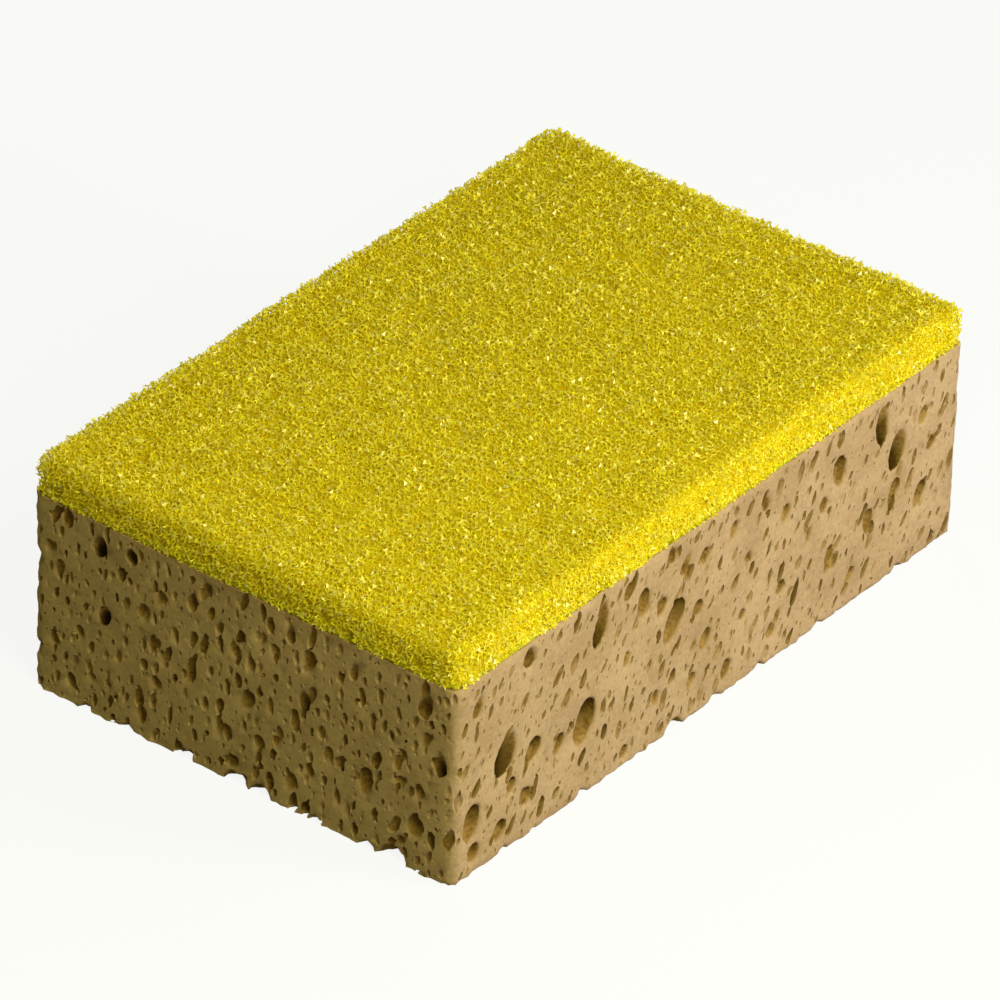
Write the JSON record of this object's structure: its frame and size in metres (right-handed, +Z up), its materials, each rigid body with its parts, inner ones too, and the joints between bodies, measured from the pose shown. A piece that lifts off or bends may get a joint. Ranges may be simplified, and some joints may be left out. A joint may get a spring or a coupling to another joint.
{
  "type": "grout sponge",
  "caption": "Rectangular hand sponge for washing off grout: a porous tan block with a yellow open-cell scrub pad bonded over its whole top.",
  "frame": {"origin": "centre of the block's underside, on the surface it rests on", "axes": "+X along the long side, +Y along the short side, +Z up from the block to the pad"},
  "size_m": [0.15, 0.098, 0.05],
  "materials": {
    "sponge": "matte, porous cellulose",
    "pad": "open network of glossy strands"
  },
  "bodies": {
    "root": {"sponge_block": "sponge", "scrub_pad": "pad"}
  },
  "joints": []
}
